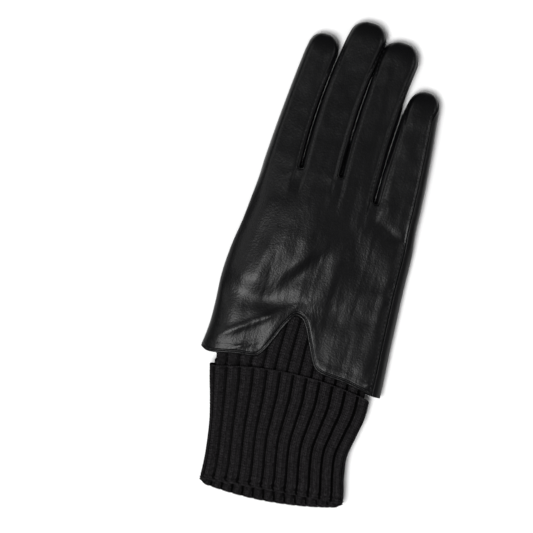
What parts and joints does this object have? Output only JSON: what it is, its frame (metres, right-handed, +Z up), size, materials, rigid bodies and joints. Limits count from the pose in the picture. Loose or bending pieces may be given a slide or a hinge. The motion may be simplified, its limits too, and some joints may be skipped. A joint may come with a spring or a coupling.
{
  "type": "knit cuff glove",
  "caption": "Right-hand leather dress glove with a notched back and a ribbed knit cuff turned up over itself, lying palm down with its thumb folded under.",
  "frame": {"origin": "middle of the glove's box, on the surface that it lies on", "axes": "+Y along the fingers, from the cuff to the fingertips; +X across the hand, from the index finger's side to the little finger's; +Z up, out of the back of the hand"},
  "size_m": [0.1158, 0.3066, 0.0251],
  "materials": {
    "leather": "smooth black dress leather with a fine grain and a soft sheen",
    "knit": "matt black ribbed wool knit"
  },
  "bodies": {
    "root": {"back_panel": "leather", "palm_panel": "leather", "fourchette_index_middle": "leather", "fourchette_middle_ring": "leather", "fourchette_ring_little": "leather", "thumb": "leather", "knit_cuff": "knit"}
  },
  "joints": []
}
